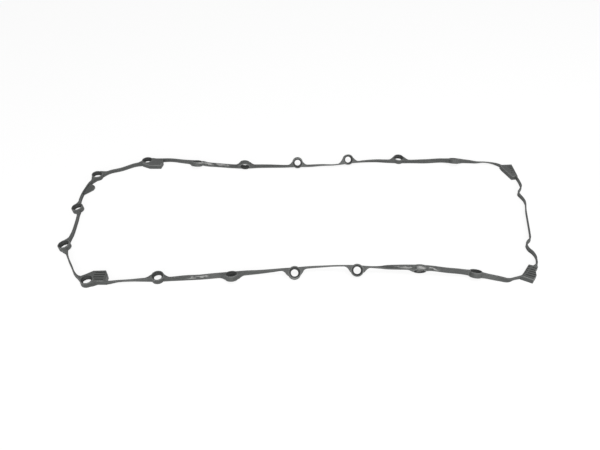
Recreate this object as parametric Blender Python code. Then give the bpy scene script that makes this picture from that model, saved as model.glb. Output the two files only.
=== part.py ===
# Oil pan gasket: one moulded rubber loop of thin strip with bolt rings and corner pads.
# Metres, +Z up. It lies on z = 0 as it comes to rest, with its long sides twisted.

import math

import bmesh
import bpy
from mathutils import Matrix, Vector

MM = 0.001

# Loop, between the outermost places on the strip's middle line
LOOP_LENGTH = 479.0 * MM
LOOP_DEPTH = 199.0 * MM

# Strip
STRIP_HEIGHT = 4.8 * MM
STRIP_WIDTH = 1.5 * MM
WAIST_DEPTH = 0.22 * MM
BEAD_HEIGHT = 1.3 * MM
EDGE_ROUND = 0.25 * MM

# Bolt rings
BOLT_HOLE = 8.0 * MM
RING_RIM = 1.95 * MM
RING_PROUD = 0.15 * MM
RING_HEIGHT = STRIP_HEIGHT + 2 * RING_PROUD
RING_SIDES = 24
EAR = 4.0 * MM
HALF_EAR = 2.6 * MM
SLIGHT_EAR = 1.3 * MM
IN_LINE = 0.0
WEB_REACH = 10.5 * MM
WEB_FULL = 5.2 * MM
WEB_LAP = 0.3 * MM
WEB_LEAST = 1.8 * MM
WEB_CURVE = 1.6

# Corner pads and tab
PAD_PROUD = 0.12 * MM
PAD_HEIGHT = STRIP_HEIGHT + 2 * PAD_PROUD
GROOVE_DEPTH = 1.5 * MM
GROOVE_WIDTH = 1.3 * MM
TAB_INSET = 0.8 * MM
TAB_HEIGHT = STRIP_HEIGHT - 2 * TAB_INSET

# Lie on the floor
LIFT_SLOPE = 0.10
CLEAR = 6.0 * MM

# Spacing of the sections along the strip, and how far to either side its heading is taken
PLAIN_STEP = 7.2 * MM
WEB_STEP = 2.7 * MM
BEND_STEP = 2.8 * MM
SHARP_BEND = 5.0
HEADING_STEP = 0.5 * MM
MERGE_GAP = 0.001 * MM

# Places along the strip: x and y as drawn, which the loop's length and depth are spread over,
# roll in degrees, and for a bolt ring how far its centre stands off the strip, towards the
# strip's own outer side.
NEAR_SIDE = [
    (-203, -11.5, 0), (-198, -12.5, 0), (-192.5, -12.5, 0, EAR), (-187, -16.5, 0),
    (-180.5, -18, 0),
    (-174.5, -18, 22), (-165.5, -16, 40), (-153, -15, 38), (-143, -14.5, 22),
    (-130, -14, 9, -HALF_EAR), (-117, -13, 10), (-104.5, -12, -2), (-91.5, -11, -6),
    (-80.5, -9.5, -25), (-63, -7.5, -17, EAR), (-50, -6, -5), (-38.5, -6, 15),
    (-26, -5.5, 27), (-17.5, -5, 34), (-5, -5, 32, EAR), (9.5, -1.5, 36),
    (22.5, -0.5, 41), (35, -1, 45), (52.5, -3, 45, EAR), (64.5, -3, 48),
    (74, -2.5, 58), (81, -3, 80), (90, -4, 90), (100, -5, 100),
    (110, -6.5, 121, EAR), (121, -6, 132), (134, -7, 142), (147.5, -8, 150),
    (162, -9.5, 155, IN_LINE), (174, -11.5, 154), (183, -13.5, 168), (190, -15.5, 180),
]
RIGHT_END = [
    (196.5, -13.5, 180), (202, -10.5, 180), (207.5, -6, 180), (212.5, 0, 180),
    (218, 1.5, 180), (222, 5, 180), (223.5, 10, 180), (224.5, 15.5, 180), (223.5, 21.5, 180),
    (221, 26.5, 180), (220.5, 32, 180), (222.5, 36.5, 180), (226.5, 41, 180),
    (228.5, 48, 180), (232.5, 68.5, 180), (236, 86.5, 180), (239, 98, 180),
    (239, 105.5, 180), (237.5, 111, 180), (236.5, 116.5, 180), (240, 122.5, 180),
    (243.5, 128.5, 180), (244, 137.5, 180), (242, 144, 180), (237.5, 150, 180),
    (232.5, 161, 180), (227.5, 169.5, 165),
]
FAR_SIDE = [
    (222, 176, 145), (214.5, 178, 124), (205, 177, 139), (196.5, 177.5, 159),
    (188.5, 177, 175), (178.5, 176, 205, IN_LINE), (163.5, 179.5, 192), (147, 179, 188),
    (129.5, 178.5, 163), (115, 179, 174, -EAR), (100.5, 179, 157), (88.5, 180, 147),
    (72.5, 179, 136), (56, 174.5, 124, -EAR), (39.5, 172.5, 124), (25.5, 172.5, 114),
    (11.5, 171.5, 107), (-3, 169, 110, -EAR), (-18.5, 170.5, 104), (-33.5, 171.5, 93),
    (-48.5, 170.5, 86), (-63, 168, 67, -EAR), (-78.5, 170.5, 78), (-95, 172.5, 76),
    (-107, 173.5, 62), (-119.5, 175, 23, -EAR), (-135, 178.5, -9), (-149.5, 181, -18),
    (-160.5, 181, -8), (-169.5, 180, 0),
]
LEFT_END = [
    (-177, 174, 0, EAR), (-189.5, 171, 0), (-204, 163, 0), (-217, 156.5, 0),
    (-226, 145.5, 0, EAR), (-232, 136, 0), (-234, 125, 0), (-235, 114, 0),
    (-234.5, 103.5, 0), (-231.5, 89.5, 0, SLIGHT_EAR), (-229, 76.5, 0), (-227.5, 63.5, 0),
    (-226.5, 51, 0), (-226.5, 40.5, 0), (-226, 31, 0, HALF_EAR), (-224, 22, 0),
    (-219, 12, 0), (-213, 2, 0), (-208, -6.5, 0),
]

# Pads: outline as drawn, then the grooves' number, first centre, step, length and heading.
PADS = {
    "near_left_pad": (
        [(-190.5, -5), (-179, -4.5), (-176, -10), (-175.5, -18.5), (-187, -18.5),
         (-195, -17), (-201, -12), (-196, -9)],
        4, (-183.5, -7), (0, -3.4), 10 * MM, 0,
    ),
    "near_right_pad": (
        [(202, -11.5), (212, -17), (216.5, -11), (217.5, -5), (221.5, 0.5), (213.5, 3.5),
         (205.5, -7.5)],
        5, (216, 0), (-1.6, -3), 30 * MM, -22,
    ),
    "far_right_pad": (
        [(230, 168), (243.5, 169), (244, 146), (237.5, 145), (231, 163)],
        4, (239.5, 165), (0.4, -3.6), 6 * MM, 0,
    ),
    "far_left_pad": (
        [(-174.5, 181.5), (-160, 181.5), (-158.5, 175), (-160, 167), (-173, 167),
         (-182, 171.5), (-178, 178)],
        3, (-167, 177.5), (0, -3.4), 10 * MM, 0,
    ),
}
TAB = [(-232, 132), (-229, 131.5), (-225.5, 128.5), (-226, 124.5), (-233.5, 116), (-235, 118)]


def clear_scene():
    for obj in list(bpy.data.objects):
        bpy.data.objects.remove(obj, do_unlink=True)


def new_collection(name):
    collection = bpy.data.collections.new(name)
    bpy.context.scene.collection.children.link(collection)
    return collection


def on_loop(x, y):
    """A drawn place, spread over the loop's length and depth."""
    drawn = NEAR_SIDE + RIGHT_END + FAR_SIDE + LEFT_END
    widest = max(place[0] for place in drawn) - min(place[0] for place in drawn)
    deepest = max(place[1] for place in drawn) - min(place[1] for place in drawn)
    return Vector((x * LOOP_LENGTH / widest, y * LOOP_DEPTH / deepest, 0))


def read_stations():
    """Each place on the strip as a dictionary, with its distance along the loop."""
    stations = []
    for place in NEAR_SIDE + RIGHT_END + FAR_SIDE + LEFT_END:
        station = {
            "at": on_loop(place[0], place[1]),
            "roll": math.radians(place[2]),
            "ear": place[3] if len(place) > 3 else None,
        }
        if stations:
            before = stations[-1]
            station["along"] = before["along"] + (station["at"] - before["at"]).length
        else:
            station["along"] = 0.0
        stations.append(station)
    return stations


def loop_length(stations):
    return stations[-1]["along"] + (stations[0]["at"] - stations[-1]["at"]).length


def distance_round(first, second, length):
    apart = abs(first - second) % length
    return min(apart, length - apart)


def height_needed(station):
    """Height of the strip's centre at which its lowest point there touches the floor."""
    upright = abs(math.cos(station["roll"]))
    lying = abs(math.sin(station["roll"]))
    strip = STRIP_HEIGHT / 2 * upright + STRIP_WIDTH / 2 * lying
    if station["ear"] is None:
        return strip
    ring_radius = BOLT_HOLE / 2 + RING_RIM
    drop = station["ear"] * math.sin(station["roll"])
    return max(strip, drop + ring_radius * lying + RING_HEIGHT / 2 * upright)


def set_heights(stations):
    """The strip sags from each ring that holds it up, down to the floor."""
    length = loop_length(stations)
    for station in stations:
        held = [
            height_needed(other)
            - LIFT_SLOPE * distance_round(station["along"], other["along"], length)
            for other in stations
        ]
        station["at"].z = max(held)


def blend(stations, along):
    """Point and roll at a distance along the loop, on a smooth curve through the stations."""
    length = loop_length(stations)
    along %= length
    count = len(stations)
    first = max(i for i in range(count) if stations[i]["along"] <= along)
    spots, points, rolls = [], [], []
    for step in (-1, 0, 1, 2):
        station = stations[(first + step) % count]
        turns = (first + step) // count
        spots.append(station["along"] + turns * length)
        points.append(station["at"])
        rolls.append(station["roll"])
    span = spots[2] - spots[1]
    part = (along - spots[1]) / span
    start = 2 * part**3 - 3 * part**2 + 1
    start_slope = (part**3 - 2 * part**2 + part) * span
    end = 3 * part**2 - 2 * part**3
    end_slope = (part**3 - part**2) * span

    def smooth(values):
        slope_in = (values[2] - values[0]) / (spots[2] - spots[0])
        slope_out = (values[3] - values[1]) / (spots[3] - spots[1])
        return (
            values[1] * start + slope_in * start_slope + values[2] * end + slope_out * end_slope
        )

    return smooth(points), smooth(rolls)


def frame_at(stations, along):
    """Point, outward direction across the strip, and direction up its height."""
    point, roll = blend(stations, along)
    ahead = blend(stations, along + HEADING_STEP)[0]
    behind = blend(stations, along - HEADING_STEP)[0]
    forward = Vector((ahead.x - behind.x, ahead.y - behind.y, 0)).normalized()
    outward = Vector((forward.y, -forward.x, 0))
    up = Vector((0, 0, 1))
    across = outward * math.cos(roll) - up * math.sin(roll)
    height = up * math.cos(roll) + outward * math.sin(roll)
    return point, across, height, forward


def web_share(away):
    """How much of the web is there, from none at its end to all of it beside the ring."""
    share = (WEB_REACH - away) / (WEB_REACH - WEB_FULL)
    return min(max(share, 0.0), 1.0) ** WEB_CURVE


def half_widths(stations, along):
    """The strip's outer and inner half widths, wider where a web runs into a ring."""
    length = loop_length(stations)
    plain = STRIP_WIDTH / 2
    widths = {1: plain, -1: plain}
    for station in stations:
        if station["ear"] is None:
            continue
        share = web_share(distance_round(along, station["along"], length))
        for side in (1, -1):
            stand = station["ear"] * side
            full = max(stand + WEB_LAP, WEB_LEAST) if stand > -SLIGHT_EAR else plain
            widths[side] = max(widths[side], plain + share * (full - plain))
    return widths[1], widths[-1]


def section_points(outer, inner):
    """Outline of the strip: a bead along each edge, and a shallow waist between them."""
    top = STRIP_HEIGHT / 2
    waist = top - BEAD_HEIGHT
    profile = [
        (EDGE_ROUND, top), (0, top - EDGE_ROUND), (WAIST_DEPTH, waist),
        (WAIST_DEPTH, -waist), (0, EDGE_ROUND - top), (EDGE_ROUND, -top),
    ]
    outer_side = [(outer - inset, level) for inset, level in profile]
    inner_side = [(inset - inner, level) for inset, level in reversed(profile)]
    return outer_side + inner_side


def section_places(stations):
    """Distances along the loop where the strip has a section, close together in bends."""
    length = loop_length(stations)
    rings = [station["along"] for station in stations if station["ear"] is not None]
    places = [0.0]
    while places[-1] < length:
        here = places[-1]
        middle = here + PLAIN_STEP / 2
        heading = frame_at(stations, here)[3]
        turned = heading.angle(frame_at(stations, here + PLAIN_STEP)[3])
        if min(distance_round(middle, ring, length) for ring in rings) < WEB_REACH:
            step = WEB_STEP
        elif turned > math.radians(SHARP_BEND):
            step = BEND_STEP
        else:
            step = PLAIN_STEP
        places.append(here + step)
    places.pop()
    if length - places[-1] < WEB_STEP / 2:
        places.pop()
    return places


def loft_strip(stations, collection):
    """The whole strip, as one closed loft through sections that widen into the webs."""
    mesh = bmesh.new()
    rows = []
    for along in section_places(stations):
        point, across, height, forward = frame_at(stations, along)
        outline = section_points(*half_widths(stations, along))
        rows.append([mesh.verts.new(point + across * o + height * h) for o, h in outline])
    for here, ahead in zip(rows, rows[1:] + rows[:1]):
        for i in range(len(here)):
            j = (i + 1) % len(here)
            mesh.faces.new((here[i], here[j], ahead[j], ahead[i]))
    bmesh.ops.recalc_face_normals(mesh, faces=mesh.faces)
    return add_mesh("gasket", mesh, collection)


def add_mesh(name, mesh, collection):
    data = bpy.data.meshes.new(name)
    mesh.to_mesh(data)
    mesh.free()
    obj = bpy.data.objects.new(name, data)
    collection.objects.link(obj)
    return obj


def make_helper(obj):
    obj.hide_render = True
    obj.display_type = "WIRE"
    return obj


def add_cylinder(name, radius, depth, matrix, collection):
    mesh = bmesh.new()
    bmesh.ops.create_cone(
        mesh, cap_ends=True, segments=RING_SIDES, radius1=radius, radius2=radius,
        depth=depth, matrix=matrix,
    )
    return make_helper(add_mesh(name, mesh, collection))


def add_box(name, size, matrix, collection):
    mesh = bmesh.new()
    bmesh.ops.create_cube(mesh, size=1, matrix=matrix @ Matrix.Diagonal((*size, 1)))
    return make_helper(add_mesh(name, mesh, collection))


def add_plate(name, outline, bottom, height, collection):
    """A flat plate with this outline, from a filled curve."""
    curve = bpy.data.curves.new(name, "CURVE")
    curve.dimensions = "2D"
    curve.fill_mode = "BOTH"
    curve.extrude = height / 2
    spline = curve.splines.new("POLY")
    spline.points.add(len(outline) - 1)
    for point, (x, y) in zip(spline.points, outline):
        point.co = on_loop(x, y).to_4d()
    spline.use_cyclic_u = True
    guide = bpy.data.objects.new(name + "_outline", curve)
    guide.location.z = bottom + height / 2
    collection.objects.link(guide)
    bpy.context.view_layer.update()
    graph = bpy.context.evaluated_depsgraph_get()
    data = bpy.data.meshes.new_from_object(guide.evaluated_get(graph))
    data.transform(guide.matrix_world)
    mesh = bmesh.new()
    mesh.from_mesh(data)
    bmesh.ops.remove_doubles(mesh, verts=mesh.verts, dist=MERGE_GAP)
    bmesh.ops.recalc_face_normals(mesh, faces=mesh.faces)
    bpy.data.objects.remove(guide, do_unlink=True)
    bpy.data.meshes.remove(data)
    return make_helper(add_mesh(name, mesh, collection))


def join_pieces(name, pieces, collection):
    """One helper object from several that don't touch, so that one Boolean takes them all."""
    mesh = bmesh.new()
    for piece in pieces:
        mesh.from_mesh(piece.data)
        bpy.data.objects.remove(piece, do_unlink=True)
    return make_helper(add_mesh(name, mesh, collection))


def apply_boolean(target, tool, operation):
    modifier = target.modifiers.new(tool.name, "BOOLEAN")
    modifier.operation = operation
    modifier.solver = "EXACT"
    modifier.object = tool
    bpy.context.view_layer.update()
    graph = bpy.context.evaluated_depsgraph_get()
    made = bpy.data.meshes.new_from_object(target.evaluated_get(graph))
    target.modifiers.clear()
    spent = target.data
    target.data = made
    bpy.data.meshes.remove(spent)


def ring_matrix(stations, station):
    """The ring's own frame: its centre, with Z along its bore."""
    point, across, height, forward = frame_at(stations, station["along"])
    centre = point + across * station["ear"]
    axes = Matrix((across, height.cross(across), height)).transposed().to_4x4()
    return Matrix.Translation(centre) @ axes


def make_pad(name, pad, helpers):
    outline, grooves, first, step, length, heading = pad
    plate = add_plate(name, outline, -PAD_PROUD, PAD_HEIGHT, helpers)
    turn = Matrix.Rotation(math.radians(heading), 4, "Z")
    cuts = []
    for index in range(grooves):
        centre = on_loop(first[0] + index * step[0], first[1] + index * step[1])
        centre.z = STRIP_HEIGHT - GROOVE_DEPTH + CLEAR / 2
        size = (length, GROOVE_WIDTH, CLEAR)
        cuts.append(add_box("groove", size, Matrix.Translation(centre) @ turn, helpers))
    apply_boolean(plate, join_pieces(name + "_grooves", cuts, helpers), "DIFFERENCE")
    return plate


def rubber():
    material = bpy.data.materials.new("rubber")
    material.use_nodes = True
    shader = material.node_tree.nodes["Principled BSDF"]
    shader.inputs["Base Color"].default_value = (0.10, 0.10, 0.10, 1)
    shader.inputs["Roughness"].default_value = 0.65
    return material


def set_on_floor(obj):
    """Moves the mesh so that the middle of its underside is at the origin."""
    corners = [vertex.co for vertex in obj.data.vertices]
    low = Vector([min(corner[axis] for corner in corners) for axis in range(3)])
    high = Vector([max(corner[axis] for corner in corners) for axis in range(3)])
    middle = (low + high) / 2
    obj.data.transform(Matrix.Translation((-middle.x, -middle.y, -low.z)))


def build():
    clear_scene()
    parts = new_collection("oil_pan_gasket")
    helpers = new_collection("cutters")
    stations = read_stations()
    set_heights(stations)
    gasket = loft_strip(stations, parts)
    rings = [station for station in stations if station["ear"] is not None]
    places = [ring_matrix(stations, station) for station in rings]
    ring_radius = BOLT_HOLE / 2 + RING_RIM
    bodies = [add_cylinder("ring", ring_radius, RING_HEIGHT, place, helpers) for place in places]
    apply_boolean(gasket, join_pieces("rings", bodies, helpers), "UNION")
    plates = [make_pad(name, pad, helpers) for name, pad in PADS.items()]
    plates.append(add_plate("tab", TAB, TAB_INSET, TAB_HEIGHT, helpers))
    apply_boolean(gasket, join_pieces("pads_and_tab", plates, helpers), "UNION")
    bores = [
        add_cylinder("bore", BOLT_HOLE / 2, RING_HEIGHT + CLEAR, place, helpers)
        for place in places
    ]
    apply_boolean(gasket, join_pieces("bores", bores, helpers), "DIFFERENCE")
    set_on_floor(gasket)
    gasket.data.materials.clear()
    gasket.data.materials.append(rubber())
    gasket.data.shade_smooth()
    gasket.data.set_sharp_from_angle(angle=math.radians(30))


build()
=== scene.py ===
import math

import bpy
from mathutils import Matrix, Vector
from mathutils.kdtree import KDTree


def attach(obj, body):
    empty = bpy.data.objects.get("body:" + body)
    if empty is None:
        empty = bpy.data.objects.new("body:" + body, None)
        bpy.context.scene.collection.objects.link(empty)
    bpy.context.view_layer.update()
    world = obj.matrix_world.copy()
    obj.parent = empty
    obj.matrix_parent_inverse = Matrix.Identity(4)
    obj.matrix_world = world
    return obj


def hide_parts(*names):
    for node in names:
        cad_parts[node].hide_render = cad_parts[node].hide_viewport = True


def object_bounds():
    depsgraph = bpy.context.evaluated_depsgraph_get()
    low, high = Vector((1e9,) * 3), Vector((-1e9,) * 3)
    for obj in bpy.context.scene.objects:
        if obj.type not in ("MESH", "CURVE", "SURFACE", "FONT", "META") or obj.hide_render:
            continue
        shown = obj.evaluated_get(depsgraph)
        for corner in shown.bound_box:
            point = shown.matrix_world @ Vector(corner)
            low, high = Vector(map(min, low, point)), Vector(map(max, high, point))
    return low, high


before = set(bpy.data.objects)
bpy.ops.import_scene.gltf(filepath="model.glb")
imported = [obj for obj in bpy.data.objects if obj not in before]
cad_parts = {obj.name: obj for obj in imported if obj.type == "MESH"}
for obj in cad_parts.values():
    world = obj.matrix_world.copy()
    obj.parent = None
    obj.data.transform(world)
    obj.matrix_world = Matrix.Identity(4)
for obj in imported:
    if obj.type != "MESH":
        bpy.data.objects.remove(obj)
cadLow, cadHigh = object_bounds()
mm = 0.001
print("frame loaded")

# The loop is modelled in millimetres and made metres at the end.
# The strip's own section: a rounded edge, a bead below it, and a waist with a parting line.
# It sags a little for each millimetre along from where it is held up.
strip = {
    "height": 5.0,
    "width": 1.5,
    "edgeRound": 0.3,
    "beadFoot": 1.35,
    "beadInset": 0.04,
    "waistTop": 1.0,
    "waistDepth": 0.34,
    "waistEase": 0.03,
    "waistBlend": 0.35,
    "partingRise": 0.08,
    "partingHalf": 0.16,
    "sections": 900,
    "lookAhead": 0.5,
    "sag": 0.10,
}

# Bolt rings, and the webs that carry them. The hole's wall stands straight at its waist, then
# opens towards each mouth: heights from the middle, each with its radius.
ring = {
    "outside": 6.0,
    "proud": 0.09,
    "facets": 72,
    "edge": 0.24,
    "edgeSteps": 3,
    "boreHalf": 0.2,
    "boreWaist": 3.4,
    "boreSteps": (
        (0.5, 3.46), (0.8, 3.62), (1.05, 3.85), (1.25, 4.12), (1.4, 4.4), (1.5, 4.62),
        (1.65, 4.7), (2.36, 4.72), (2.5, 4.8), (2.62, 5.02), (5.6, 5.6),
    ),
    "webReach": 12.0,
    "webFull": 6.0,
    "webLap": 2.0,
    "webLeast": 1.8,
    "webCurve": 1.9,
}

# Corner pads and the tab. A groove's cutter narrows downwards: footShare is how much of its
# width is left at the groove's foot.
pad = {
    "proud": 0.09,
    "edge": 0.34,
    "edgeSteps": 2,
    "grooveDepth": 1.6,
    "cutterWidth": 1.7,
    "cutterHeight": 6.0,
    "footShare": 0.2133333,
    "tabInset": 0.8,
}

# How the mesh work goes: how near points are merged, how near a face lies to its level, how far
# up a flat face looks, how far up a rounded edge looks, and the angle that shades as sharp
meshWork = {
    "merge": 0.0005,
    "levelReach": 0.001,
    "flatFrom": 0.9,
    "edgeFrom": 0.2,
    "edgeTo": 0.98,
    "sharpAngle": 32,
}

# The middle of the loop as its route is written, and how far it keeps inside the frame's box
lie = {"middleX": 3.09, "middleY": 83.48, "inside": 0.002}

# How far a ring's centre stands off the strip
ear, halfEar, slightEar = 4.0, 2.6, 1.3

# The route as the loop lies: x, y, roll in degrees, and a ring's stand-off
nearSide = [
    (-203, -11.5, 0), (-198, -12.5, 0), (-192.5, -12.5, 0, ear), (-187, -16.5, 0),
    (-180.5, -17.5, 0), (-174.5, -18, 18), (-165.5, -16, 36), (-153, -15, 33),
    (-143, -14.5, 16), (-130, -14.5, 5, -halfEar), (-117, -13.2, 6), (-104.5, -11.9, -12),
    (-91.5, -11, -11), (-80.5, -9.5, -25), (-63, -7.8, -17, ear), (-50, -6, -5),
    (-38.5, -6, 12), (-26, -5.5, 23), (-17.5, -5, 31), (-5.4, -5, 32, ear),
    (9.5, -1.5, 36), (22.5, -0.3, 42), (35, -0.7, 46), (52.8, -2.8, 45, ear),
    (64.5, -3, 50), (74, -2.5, 61), (81, -2.6, 86), (90, -3.5, 99), (100, -4.6, 112),
    (110, -6, 119, ear), (121, -6, 132), (134, -7, 142), (147.5, -7.4, 149),
    (161, -9, 155, 0), (174, -11.5, 156), (183, -13.2, 169), (190, -15, 186),
]
rightEnd = [
    (196.5, -12.7, 202), (202.5, -10.9, 195), (208.8, -7.2, 186), (213.5, -1, 180),
    (218, 1.5, 176), (222, 5, 171), (223.5, 10, 167), (224.5, 15.5, 165),
    (223.5, 21.5, 166), (221, 26.5, 169), (220.5, 32, 173), (222.5, 36.5, 176),
    (226.5, 41, 174), (228.5, 48, 167), (232.5, 68.5, 165), (236, 86.5, 165),
    (239, 98, 165), (239, 105.5, 165), (237.5, 111, 167), (236.5, 116.5, 174),
    (240, 122.5, 178), (243.1, 128.5, 174), (243.5, 137.5, 168), (243, 144, 168),
    (241.5, 152, 167), (236, 163, 163), (229, 171.3, 150),
]
farSide = [
    (222, 176, 130), (214.5, 178, 124), (205, 177, 139), (196.5, 177.5, 159),
    (188.5, 177.3, 176), (178.5, 176.3, 205, 0), (163.5, 179.5, 192), (147, 179, 188),
    (129.5, 178.5, 165), (115, 178.6, 176, -ear), (100.5, 179.2, 161), (88.5, 180, 152),
    (72.5, 179, 138), (56, 174.5, 124, -ear), (39.5, 172.5, 124), (25.5, 172.5, 115),
    (11.5, 171.5, 106), (-2.8, 169, 108, -ear), (-18.5, 170.7, 100), (-33.5, 171.5, 88),
    (-48.5, 170.5, 81), (-63, 167.6, 65, -ear), (-78.5, 170.5, 73), (-95, 172.5, 70),
    (-107, 173.5, 57), (-118, 175, 22, -ear), (-135, 178.5, -4), (-149.5, 181.2, -13),
    (-160.5, 181, -6), (-169.5, 180, 0),
]
leftEnd = [
    (-176, 174.3, 0, ear), (-189.5, 171.5, -5), (-204, 162.3, -13), (-216.5, 156.5, -13),
    (-224.8, 146.3, -4, ear), (-232, 136, 0), (-234, 125, 0), (-235, 114, 0),
    (-234.5, 103.5, 4), (-231.5, 89.5, 8, slightEar), (-229, 76.5, 5), (-227.5, 63.5, 2),
    (-226.5, 51, 4), (-226.5, 40.5, 6), (-226, 31, 9, halfEar), (-224, 22, 5),
    (-219, 12, 0), (-213, 2, 0), (-208, -6.5, 0),
]

# Pads: outline, how many grooves, the first one's middle, and their step, length and heading
padShapes = {
    "nearLeftPad": {
        "outline": [
            (-190.5, -5), (-179, -4.5), (-176, -10), (-175.5, -18.5), (-187, -18.5),
            (-195, -17), (-201, -12), (-196, -9),
        ],
        "grooves": 4, "first": (-183.5, -7.2), "step": (0, -2.95), "length": 9.5,
        "heading": 0,
    },
    "nearRightPad": {
        "outline": [
            (202, -11.5), (212, -17), (216.5, -11), (217.5, -5), (221.5, 0.5), (213.5, 3.5),
            (205.5, -7.5),
        ],
        "grooves": 5, "first": (215.4, -0.6), "step": (-1.3, -2.7), "length": 30,
        "heading": -24,
    },
    "farRightPad": {
        "outline": [(230, 168), (243.5, 169), (244, 146), (237.5, 145), (231, 163)],
        "grooves": 4, "first": (239.5, 163.5), "step": (0.4, -3.6), "length": 4.5,
        "heading": 0,
    },
    "farLeftPad": {
        "outline": [
            (-174.5, 181.5), (-160, 181.5), (-158.5, 175), (-160, 167), (-173, 167),
            (-182, 171.5), (-178, 178),
        ],
        "grooves": 0,
    },
}
tabShape = [
    (-232, 132), (-229, 131.5), (-225.5, 128.5), (-226, 124.5), (-233.5, 116), (-235, 118),
]


def apart(first, second, length):
    # the shorter way between two places on the closed loop
    distance = abs(first - second) % length
    return min(distance, length - distance)


def heightNeeded(roll, standOff):
    # the strip's centre height at which its lowest point touches the floor
    upright, lying = abs(math.cos(roll)), abs(math.sin(roll))
    stripHalf = strip["height"] / 2 * upright + strip["width"] / 2 * lying
    if standOff is None:
        return stripHalf
    ringHalf = strip["height"] / 2 + ring["proud"]
    ringLow = standOff * math.sin(roll) + ring["outside"] * lying + ringHalf * upright
    return max(stripHalf, ringLow)


def layRoute():
    stations = []
    for place in nearSide + rightEnd + farSide + leftEnd:
        at = Vector((place[0], place[1], 0))
        along = stations[-1]["along"] + (at - stations[-1]["at"]).length if stations else 0
        standOff = place[3] if len(place) > 3 else None
        stations.append(
            {"at": at, "along": along, "roll": math.radians(place[2]), "standOff": standOff}
        )
    length = stations[-1]["along"] + (stations[0]["at"] - stations[-1]["at"]).length
    for station in stations:
        station["at"].z = max(
            heightNeeded(other["roll"], other["standOff"])
            - strip["sag"] * apart(station["along"], other["along"], length)
            for other in stations
        )
    return stations, length


stations, loopLength = layRoute()
rings = [station for station in stations if station["standOff"] is not None]


def smoothAt(along):
    # place and roll on a smooth curve through the stations
    along %= loopLength
    count = len(stations)
    first = max(i for i in range(count) if stations[i]["along"] <= along)
    spots, points, rolls = [], [], []
    for step in (-1, 0, 1, 2):
        station = stations[(first + step) % count]
        spots.append(station["along"] + (first + step) // count * loopLength)
        points.append(station["at"])
        rolls.append(station["roll"])
    span = spots[2] - spots[1]
    part = (along - spots[1]) / span
    start = 2 * part**3 - 3 * part**2 + 1
    startSlope = (part**3 - 2 * part**2 + part) * span
    end = 3 * part**2 - 2 * part**3
    endSlope = (part**3 - part**2) * span

    def blend(values):
        slopeIn = (values[2] - values[0]) / (spots[2] - spots[0])
        slopeOut = (values[3] - values[1]) / (spots[3] - spots[1])
        return values[1] * start + slopeIn * startSlope + values[2] * end + slopeOut * endSlope

    return blend(points), blend(rolls)


def frameAt(along):
    # place, direction across the strip towards its own outer side, and direction up its height
    place, roll = smoothAt(along)
    ahead = strip["lookAhead"]
    forward = smoothAt(along + ahead)[0] - smoothAt(along - ahead)[0]
    forward = Vector((forward.x, forward.y, 0)).normalized()
    outward, up = Vector((forward.y, -forward.x, 0)), Vector((0, 0, 1))
    across = outward * math.cos(roll) - up * math.sin(roll)
    height = up * math.cos(roll) + outward * math.sin(roll)
    return place, across, height


def halfWidths(along):
    # the strip widens on a ring's side into the web that carries the ring
    plain = strip["width"] / 2
    widths = {1: plain, -1: plain}
    for station in rings:
        away = apart(along, station["along"], loopLength)
        share = (ring["webReach"] - away) / (ring["webReach"] - ring["webFull"])
        share = min(max(share, 0), 1) ** ring["webCurve"]
        for side in (1, -1):
            stand = station["standOff"] * side
            if stand > -halfEar:  # a ring well off the strip has no web on its other side
                full = max(stand + ring["webLap"], ring["webLeast"])
                widths[side] = max(widths[side], plain + share * (full - plain))
    return widths[1], widths[-1]


def sectionSide():
    # heights up the strip's side, each with how far the side is drawn in there
    top, edge, depth = strip["height"] / 2, strip["edgeRound"], strip["waistDepth"]
    half = [(top, edge)]
    for turn in (60, 30, 0):  # the rounded edge
        lean = math.radians(turn)
        half.append((top - edge + edge * math.sin(lean), edge - edge * math.cos(lean)))
    half.append((strip["beadFoot"], strip["beadInset"]))
    half.append((strip["waistTop"], depth - strip["waistEase"]))
    half.append((strip["waistTop"] - strip["waistBlend"], depth))
    half.append((strip["partingHalf"], depth))
    middle = [(0, depth - strip["partingRise"])]
    return half + middle + [(-level, inset) for level, inset in reversed(half)]


def deselectAll():
    for obj in bpy.context.selected_objects:
        obj.select_set(False)


def takeUp(obj):
    deselectAll()
    obj.select_set(True)
    bpy.context.view_layer.objects.active = obj


def fixNormals(obj):
    takeUp(obj)
    bpy.ops.object.mode_set(mode="EDIT")
    bpy.ops.mesh.select_all(action="SELECT")
    bpy.ops.mesh.remove_doubles(threshold=meshWork["merge"])
    bpy.ops.mesh.normals_make_consistent(inside=False)
    bpy.ops.object.mode_set(mode="OBJECT")


def joinAll(pieces, name):
    deselectAll()
    for piece in pieces:
        piece.select_set(True)
    bpy.context.view_layer.objects.active = pieces[0]
    if len(pieces) > 1:
        bpy.ops.object.join()
    joined = bpy.context.view_layer.objects.active
    joined.name = name
    return joined


# A face's slot marks it as plain skin, a hole's wall, a groove's wall or a rounded edge,
# and the Booleans carry the slots along. Hole and groove walls are later given painted shade,
# and rounded edges a painted highlight
markNames = ("skinMark", "holeMark", "grooveMark", "highlightEdgeMark")
marks = [bpy.data.materials.new(name) for name in markNames]
skinMark, holeMark, grooveMark, highlightEdgeMark = range(len(marks))


def giveMarks(obj):
    if not obj.data.materials:
        for mark in marks:
            obj.data.materials.append(mark)


def markHighlightEdges(obj):
    giveMarks(obj)
    # the rounded edges, which are later painted paler as a painted highlight
    for polygon in obj.data.polygons:
        if meshWork["edgeFrom"] < abs(polygon.normal.z) < meshWork["edgeTo"]:
            polygon.material_index = highlightEdgeMark


def cutOrWeld(target, tool, operation, mark=skinMark):
    giveMarks(target)
    giveMarks(tool)
    if mark != skinMark:
        for polygon in tool.data.polygons:
            polygon.material_index = mark
    takeUp(target)
    modifier = target.modifiers.new(operation.lower(), "BOOLEAN")
    modifier.object = tool
    modifier.operation = operation
    modifier.solver = "EXACT"
    bpy.ops.object.modifier_apply(modifier=modifier.name)
    bpy.data.objects.remove(tool, do_unlink=True)


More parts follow.
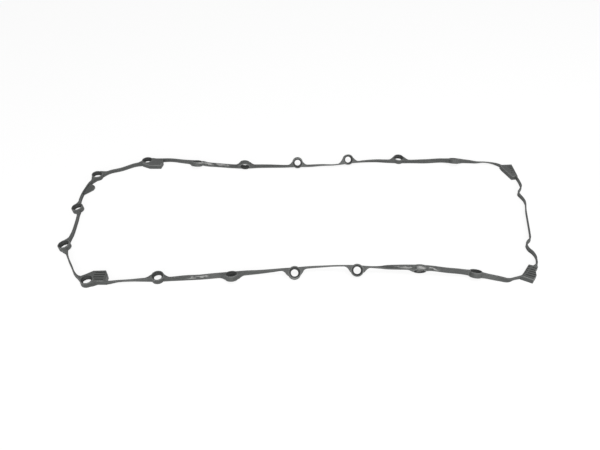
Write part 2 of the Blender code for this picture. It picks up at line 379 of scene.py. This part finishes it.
def makeStrip():
    # a grid rolled up into a closed tube, its two seams merged
    side = sectionSide()
    around = 2 * len(side)
    deselectAll()
    bpy.ops.mesh.primitive_grid_add(x_subdivisions=around, y_subdivisions=strip["sections"])
    body = bpy.context.active_object
    points = iter(body.data.vertices)
    for i in range(strip["sections"] + 1):
        along = loopLength * i / strip["sections"]
        place, across, height = frameAt(along)
        outer, inner = halfWidths(along)
        outline = [(outer - inset, level) for level, inset in side]
        outline += [(inset - inner, level) for level, inset in reversed(side)]
        for sideways, level in outline + outline[:1]:
            next(points).co = place + across * sideways + height * level
    fixNormals(body)
    return body


def ringPlace(station):
    place, across, height = frameAt(station["along"])
    axes = Matrix((across, height.cross(across), height)).transposed().to_4x4()
    return Matrix.Translation(place + across * station["standOff"]) @ axes


def selectLevel(obj, level):
    # selects the flat faces at one height of an object that stands upright at the origin
    bpy.ops.object.mode_set(mode="OBJECT")
    for polygon in obj.data.polygons:
        near = abs(polygon.center.z - level) < meshWork["levelReach"]
        polygon.select = near and abs(polygon.normal.z) > meshWork["flatFrom"]
    bpy.ops.object.mode_set(mode="EDIT")


def makeRingBody():
    depth = strip["height"] + 2 * ring["proud"]
    deselectAll()
    bpy.ops.mesh.primitive_cylinder_add(
        vertices=ring["facets"], radius=ring["outside"], depth=depth
    )
    body = bpy.context.active_object
    bpy.ops.object.mode_set(mode="EDIT")
    bpy.ops.mesh.select_mode(type="FACE")
    for level in (depth / 2, -depth / 2):
        bpy.ops.mesh.select_all(action="DESELECT")
        selectLevel(body, level)
        bpy.ops.mesh.bevel(offset=ring["edge"], segments=ring["edgeSteps"], affect="EDGES")
    bpy.ops.object.mode_set(mode="OBJECT")
    markHighlightEdges(body)
    return body


def makeBore():
    # the bolt hole, drawn out from its waist to each face and past it
    deselectAll()
    bpy.ops.mesh.primitive_cylinder_add(
        vertices=ring["facets"], radius=ring["boreWaist"], depth=2 * ring["boreHalf"]
    )
    bore = bpy.context.active_object
    bpy.ops.object.mode_set(mode="EDIT")
    bpy.ops.mesh.select_mode(type="FACE")
    for way in (1, -1):
        bpy.ops.mesh.select_all(action="DESELECT")
        selectLevel(bore, way * ring["boreHalf"])
        level, radius = ring["boreHalf"], ring["boreWaist"]
        for nextLevel, nextRadius in ring["boreSteps"]:
            bpy.ops.mesh.extrude_region_move(
                TRANSFORM_OT_translate={"value": (0, 0, way * (nextLevel - level))}
            )
            widen = nextRadius / radius
            bpy.ops.transform.resize(value=(widen, widen, 1))
            level, radius = nextLevel, nextRadius
    bpy.ops.object.mode_set(mode="OBJECT")
    return bore


def copyToRings(first, name):
    # one copy at each ring, each with its own mesh
    copies = []
    for station in rings:
        copy = first.copy()
        copy.data = first.data.copy()
        copy.data.transform(ringPlace(station))
        bpy.context.collection.objects.link(copy)
        copies.append(copy)
    bpy.data.objects.remove(first, do_unlink=True)
    joined = joinAll(copies, name)
    fixNormals(joined)
    return joined


def makePlate(name, outline, bottom, height):
    # a flat outline drawn as a filled curve, thickened with rounded edges
    curve = bpy.data.curves.new(name, "CURVE")
    curve.dimensions = "2D"
    curve.fill_mode = "BOTH"
    curve.extrude = height / 2 - pad["edge"]
    curve.bevel_depth = pad["edge"]
    curve.bevel_resolution = pad["edgeSteps"]
    curve.offset = -pad["edge"]
    spline = curve.splines.new("POLY")
    spline.points.add(len(outline) - 1)
    for point, (x, y) in zip(spline.points, outline):
        point.co = (x, y, 0, 1)
    spline.use_cyclic_u = True
    plate = bpy.data.objects.new(name, curve)
    bpy.context.collection.objects.link(plate)
    takeUp(plate)
    bpy.ops.object.convert(target="MESH")
    plate.data.transform(Matrix.Translation((0, 0, bottom + height / 2)))
    fixNormals(plate)
    return plate


def makeGroove(length, x, y, heading):
    # a groove narrows towards its foot, so that the pad leaves its mould
    tall = pad["cutterHeight"]
    deselectAll()
    bpy.ops.mesh.primitive_cube_add(size=1)
    groove = bpy.context.active_object
    groove.data.transform(Matrix.Diagonal((length, pad["cutterWidth"], tall, 1)))
    bpy.ops.object.mode_set(mode="EDIT")
    bpy.ops.mesh.select_mode(type="FACE")
    bpy.ops.mesh.select_all(action="DESELECT")
    selectLevel(groove, -tall / 2)
    bpy.ops.transform.resize(value=(1, pad["footShare"], 1))
    bpy.ops.object.mode_set(mode="OBJECT")
    turn = Matrix.Rotation(math.radians(heading), 4, "Z")
    middle = strip["height"] - pad["grooveDepth"] + tall / 2
    groove.data.transform(Matrix.Translation((x, y, middle)) @ turn)
    return groove


def cutGrooves(plate, shape):
    (x, y), (stepX, stepY) = shape["first"], shape["step"]
    grooves = [
        makeGroove(shape["length"], x + i * stepX, y + i * stepY, shape["heading"])
        for i in range(shape["grooves"])
    ]
    cutOrWeld(plate, joinAll(grooves, "grooves"), "DIFFERENCE", grooveMark)


def makePads():
    pieces = []
    proud, inset = pad["proud"], pad["tabInset"]
    for name, shape in padShapes.items():
        plate = makePlate(name, shape["outline"], -proud, strip["height"] + 2 * proud)
        markHighlightEdges(plate)
        if shape["grooves"]:
            cutGrooves(plate, shape)
        pieces.append(plate)
    pieces.append(makePlate("tab", tabShape, inset, strip["height"] - 2 * inset))
    return joinAll(pieces, "padsAndTab")


def mapRoute(body):
    # for each corner point: metres along the loop, and metres up the strip's height
    count = strip["sections"]
    places = [frameAt(loopLength * i / count) for i in range(count)]
    tree = KDTree(count)
    for i in range(count):
        tree.insert(places[i][0], i)
    tree.balance()
    spots = []
    for vertex in body.data.vertices:
        nearest = tree.find(vertex.co)[1]
        place, _, height = places[nearest]
        level = (vertex.co - place).dot(height)
        spots.append((loopLength * nearest / count * mm, level * mm))
    return spots


def markFaces(body):
    # writes the route map, the painted shade of holes and grooves and the painted edge
    # highlight, in place of the slots
    spots = mapRoute(body)
    # painted shade: a full share on groove walls, a part share on hole walls
    paintedShadeShares = {skinMark: 0, holeMark: rubber["holePaintedShade"], grooveMark: 1, highlightEdgeMark: 0}
    body.data.uv_layers.new(name="route")
    for name in ("paintedShade", "edge"):
        body.data.attributes.new(name, "FLOAT", "CORNER")
    route = body.data.uv_layers["route"]
    paintedShade, edge = body.data.attributes["paintedShade"], body.data.attributes["edge"]
    for polygon in body.data.polygons:
        for corner in polygon.loop_indices:
            route.data[corner].uv = spots[body.data.loops[corner].vertex_index]
            paintedShade.data[corner].value = paintedShadeShares[polygon.material_index]
            # painted highlight on the rounded edges
            edge.data[corner].value = polygon.material_index == highlightEdgeMark
        polygon.material_index = 0
    body.data.materials.clear()
    for mark in marks:
        bpy.data.materials.remove(mark)


def makeGasket():
    body = makeStrip()
    print("strip drawn out")
    cutOrWeld(body, copyToRings(makeRingBody(), "ringBodies"), "UNION")
    cutOrWeld(body, makePads(), "UNION")
    print("rings, pads and tab welded on")
    cutOrWeld(body, copyToRings(makeBore(), "bores"), "DIFFERENCE", holeMark)
    print("bolt holes cut")
    markFaces(body)
    # metres, set where the frame has it: on the floor, and held inside the frame's box
    lowest = min(vertex.co.z for vertex in body.data.vertices)
    body.data.transform(Matrix.Translation((-lie["middleX"], -lie["middleY"], -lowest)))
    body.data.transform(Matrix.Scale(mm, 4))
    body.data.transform(Matrix.Translation((0, 0, cadLow.z)))
    inside = lie["inside"] * mm
    for vertex in body.data.vertices:
        for axis in range(3):
            low, high = cadLow[axis] + inside, cadHigh[axis] - inside
            vertex.co[axis] = min(max(vertex.co[axis], low), high)
    takeUp(body)
    bpy.ops.object.shade_smooth_by_angle(angle=math.radians(meshWork["sharpAngle"]))
    body.name = "mouldedGasket"
    return body


class Shade:
    # a shader socket that can stand in sums
    def __init__(self, sheet, socket):
        self.sheet = sheet
        self.socket = socket

    def work(self, operation, first, second):
        return self.sheet.add("ShaderNodeMath", {"operation": operation}, {0: first, 1: second})

    def __add__(self, other):
        return self.work("ADD", self, other)

    def __radd__(self, other):
        return self.work("ADD", other, self)

    def __sub__(self, other):
        return self.work("SUBTRACT", self, other)

    def __mul__(self, other):
        return self.work("MULTIPLY", self, other)

    def __rmul__(self, other):
        return self.work("MULTIPLY", other, self)


class Sheet:
    # the nodes of a material or world, each added with its settings first and then its sockets
    def __init__(self, owner):
        owner.use_nodes = True
        self.owner = owner
        self.tree = owner.node_tree
        self.nodes = owner.node_tree.nodes

    def feed(self, target, value):
        if isinstance(value, Shade):
            self.tree.links.new(value.socket, target)
        else:
            target.default_value = value

    def add(self, kind, settings, inputs, out=0):
        node = self.nodes.new(kind)
        for name, value in settings.items():
            setattr(node, name, value)
        for name, value in inputs.items():
            self.feed(node.inputs[name], value)
        return Shade(self, node.outputs[out])

    def blendColours(self, share, first, second):
        # sockets 0, 6 and 7 are the node's factor and its two colours, and 2 the blend
        return self.add(
            "ShaderNodeMix", {"data_type": "RGBA"}, {0: share, 6: first, 7: second}, 2
        )

    def step(self, value, low, high):
        return self.add(
            "ShaderNodeMapRange", {"interpolation_type": "SMOOTHSTEP"},
            {"Value": value, "From Min": low, "From Max": high},
        )

    def noise(self, where, values):
        return self.add("ShaderNodeTexNoise", {}, {"Vector": where, **values})


# Moulded black rubber: dark patches, a faint grey bloom, pale streaks of wear and painted
# highlight, painted highlights on the lips and rounded edges, and painted shade down the holes
# and grooves.
# A span says where a pattern begins to show and where it shows in full; each share says how
# strongly a colour is laid over those before it.
rubber = {
    "deep": (0.043, 0.045, 0.044, 1),
    "plain": (0.061, 0.064, 0.062, 1),
    "bloom": (0.105, 0.109, 0.106, 1),
    # pale streak colour: wear, and at the first place a painted highlight
    "wearAndHighlight": (0.46, 0.46, 0.45, 1),
    # painted highlight colour for the rounded edges
    "edge": (0.235, 0.24, 0.235, 1),
    # painted shade: the near-black laid on hole and groove walls
    "paintedShade": (0.006, 0.006, 0.006, 1),
    "holePaintedShade": 0.58,
    "patches": {"Scale": 34, "Detail": 3, "Roughness": 0.55},
    "speckle": {"Scale": 900, "Detail": 3, "Roughness": 0.6},
    "grain": {"Scale": 3600, "Detail": 2, "Roughness": 0.5},
    "bloomSpeckle": 0.25,
    "bloomSpan": (0.55, 0.85),
    "deepSpan": (0.52, 0.30),
    # heights from the strip's middle where the lips' painted highlight begins and is full
    "lipHighlightSpan": (0.0016, 0.0023),
    "share": {
        "deep": 0.7, "bloom": 0.5, "speckle": 0.12, "lipHighlight": 0.35, "wearAndHighlight": 0.55, "edge": 0.7,
        "paintedShade": 0.95,
    },
    "specular": 0.28,
    "rough": {"plain": 0.42, "bloom": 0.14, "speckle": 0.10, "paintedShade": 0.35},
    "skin": {"grain": 0.6, "speckle": 0.8, "strength": 0.5, "height": 0.00006},
}

# Pale streaked places: wear, and at the first place a painted highlight. Each is written as x
# and y of its middle and its half length. They lie in streaks a little above the middle of the
# strip's side, drawn out along it.
wearAndHighlightStreaks = {
    "places": ((0.104, -0.091, 0.023), (-0.097, -0.094, 0.011), (-0.103, 0.090, 0.022)),
    "level": 0.005,
    "core": 0.7,
    "middle": 0.0004,
    "half": 0.0016,
    "fullWithin": 0.3,
    "streaks": {"Scale": 1.0, "Detail": 2, "Roughness": 0.5},
    "streaksAlong": 150,
    "streaksUp": 330,
    "streakSpan": (0.42, 0.58),
}


def findWearAndHighlight(sheet, place, along, up):
    # pale streaks: wear, and at the first place a painted highlight
    drawnOut = sheet.add(
        "ShaderNodeCombineXYZ", {},
        {0: along * wearAndHighlightStreaks["streaksAlong"], 1: up * wearAndHighlightStreaks["streaksUp"]},
    )
    streaks = sheet.noise(drawnOut, wearAndHighlightStreaks["streaks"])
    near = 0.0
    for x, y, half in wearAndHighlightStreaks["places"]:
        away = sheet.add(
            "ShaderNodeVectorMath", {"operation": "DISTANCE"},
            {0: place, 1: (x, y, wearAndHighlightStreaks["level"])}, "Value",
        )
        near = sheet.step(away, half, half * wearAndHighlightStreaks["core"]) + near
    offMiddle = up - wearAndHighlightStreaks["middle"]
    reach = wearAndHighlightStreaks["half"] ** 2
    band = sheet.step(offMiddle * offMiddle, reach, wearAndHighlightStreaks["fullWithin"] * reach)
    return near * sheet.step(streaks, *wearAndHighlightStreaks["streakSpan"]) * band


def makeRubber():
    sheet = Sheet(bpy.data.materials.new("mouldedRubber"))
    share, rough, skin = rubber["share"], rubber["rough"], rubber["skin"]
    place = sheet.add("ShaderNodeTexCoord", {}, {}, "Object")
    patches = sheet.noise(place, rubber["patches"])
    speckle = sheet.noise(place, rubber["speckle"])
    grain = sheet.noise(place, rubber["grain"])
    bloom = sheet.step(patches + rubber["bloomSpeckle"] * speckle, *rubber["bloomSpan"])
    deep = sheet.step(patches, *rubber["deepSpan"])
    route = sheet.add("ShaderNodeUVMap", {"uv_map": "route"}, {})
    along = sheet.add("ShaderNodeSeparateXYZ", {}, {0: route}, "X")
    up = sheet.add("ShaderNodeSeparateXYZ", {}, {0: route}, "Y")
    wearAndHighlight = findWearAndHighlight(sheet, place, along, up)
    # painted highlight: the strip's two lips are painted paler than the waist between them
    lipHighlight = sheet.step(up * up, *(reach**2 for reach in rubber["lipHighlightSpan"]))
    # painted shade on hole and groove walls
    paintedShade = sheet.add("ShaderNodeAttribute", {"attribute_name": "paintedShade"}, {}, "Fac")
    # painted highlight on the rounded edges
    edge = sheet.add("ShaderNodeAttribute", {"attribute_name": "edge"}, {}, "Fac")
    colour = sheet.blendColours(deep * share["deep"], rubber["plain"], rubber["deep"])
    haze = bloom * share["bloom"] + share["speckle"] * speckle
    for amount, name in (
        (haze, "bloom"),
        # painted highlight on the lips, laid in the bloom's grey
        (lipHighlight * share["lipHighlight"], "bloom"),
        # pale streaks: wear, and at the first place a painted highlight
        (wearAndHighlight * share["wearAndHighlight"], "wearAndHighlight"),
        # painted highlight on the rounded edges
        (edge * share["edge"], "edge"),
        # painted shade on hole and groove walls
        (paintedShade * share["paintedShade"], "paintedShade"),
    ):
        colour = sheet.blendColours(amount, colour, rubber[name])
    roughness = rough["plain"] + rough["bloom"] * bloom
    roughness = roughness + rough["speckle"] * speckle + rough["paintedShade"] * paintedShade
    surface = sheet.add(
        "ShaderNodeBump", {},
        {
            "Height": skin["grain"] * grain + skin["speckle"] * speckle,
            "Strength": skin["strength"],
            "Distance": skin["height"],
        },
    )
    shader = sheet.nodes["Principled BSDF"]
    for socket, value in (
        ("Base Color", colour),
        ("Specular IOR Level", rubber["specular"]),
        ("Roughness", roughness),
        ("Normal", surface),
    ):
        sheet.feed(shader.inputs[socket], value)
    return sheet.owner


# The light: one broad overhead lamp before the loop, a broad low one from further in front and
# a weak one from the side. The floor glows a little where it is seen, so that it looks white.
studio = {
    "floorSize": 30,
    "floorColour": (0.86, 0.86, 0.86, 1),
    "floorRoughness": 0.9,
    "floorGlow": 1.08,
    "floorLift": 0.80,
    "worldLight": 0.28,
    "overhead": {"place": (0.16, -0.44, 1.15), "size": (0.75, 0.60), "watts": 6.5},
    "front": {"place": (-0.10, -1.40, 0.50), "size": (1.60, 0.70), "watts": 17.0},
    "side": {"place": (1.20, -0.20, 0.60), "size": (0.70, 0.70), "watts": 3.0},
}


def seenStraight(sheet):
    # one where the eye sees the surface itself, in a reflection or through glass
    path = sheet.nodes.new("ShaderNodeLightPath")
    straight, mirrored, through = (
        Shade(sheet, path.outputs[f"Is {kind} Ray"])
        for kind in ("Camera", "Glossy", "Transmission")
    )
    return sheet.add(
        "ShaderNodeMath", {"operation": "ADD", "use_clamp": True},
        {0: straight + mirrored, 1: through},
    )


def makeFloor():
    deselectAll()
    bpy.ops.mesh.primitive_plane_add(size=studio["floorSize"], location=(0, 0, cadLow.z))
    floor = bpy.context.active_object
    floor.name = "studioFloor"
    sheet = Sheet(bpy.data.materials.new("paleFloor"))
    shader = sheet.nodes["Principled BSDF"]
    shader.inputs["Base Color"].default_value = studio["floorColour"]
    shader.inputs["Roughness"].default_value = studio["floorRoughness"]
    seen = seenStraight(sheet)
    glow = sheet.add(
        "ShaderNodeEmission", {}, {"Color": (1, 1, 1, 1), "Strength": studio["floorGlow"]}
    )
    mixed = sheet.add(
        "ShaderNodeMixShader", {},
        {0: seen * studio["floorLift"], 1: Shade(sheet, shader.outputs[0]), 2: glow},
    )
    sheet.feed(sheet.nodes["Material Output"].inputs["Surface"], mixed)
    floor.data.materials.append(sheet.owner)


def makeWorld():
    sheet = Sheet(bpy.data.worlds.new("studioWorld"))
    bpy.context.scene.world = sheet.owner
    seen = seenStraight(sheet)
    background = sheet.nodes["Background"]
    background.inputs["Color"].default_value = (1, 1, 1, 1)
    strength = studio["worldLight"] + seen * (1.0 - studio["worldLight"])
    sheet.feed(background.inputs["Strength"], strength)


def addSoftLight(name, values):
    light = bpy.data.lights.new(name, "AREA")
    light.shape = "RECTANGLE"
    light.size, light.size_y = values["size"]
    light.energy = values["watts"]
    lamp = bpy.data.objects.new(name, light)
    lamp.location = values["place"]
    lamp.rotation_euler = (-Vector(values["place"])).to_track_quat("-Z", "Y").to_euler()
    bpy.context.collection.objects.link(lamp)


def makeLights():
    for name in ("overhead", "front", "side"):
        addSoftLight(name + "Light", studio[name])


# The eye stands before the near long side and looks down at the loop
eye = {
    "sideways": -0.0031,
    "back": -0.4735,
    "height": 0.3831,
    "lookDown": 40,
    "lens": 35,
    "sensor": 36,
}


def makeCamera():
    data = bpy.data.cameras.new("eye")
    data.lens = eye["lens"]
    data.sensor_width = eye["sensor"]
    camera = bpy.data.objects.new("eye", data)
    camera.location = (eye["sideways"], eye["back"], eye["height"])
    camera.rotation_euler = (math.radians(90 - eye["lookDown"]), 0, 0)
    bpy.context.collection.objects.link(camera)
    bpy.context.scene.camera = camera


gasket = makeGasket()
gasket.data.materials.append(makeRubber())
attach(gasket, "root")
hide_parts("gasket")
print("gasket finished:", len(gasket.data.polygons), "faces")

makeFloor()
makeWorld()
makeLights()
makeCamera()
bpy.context.scene.view_settings.view_transform = "Standard"
print("studio ready")
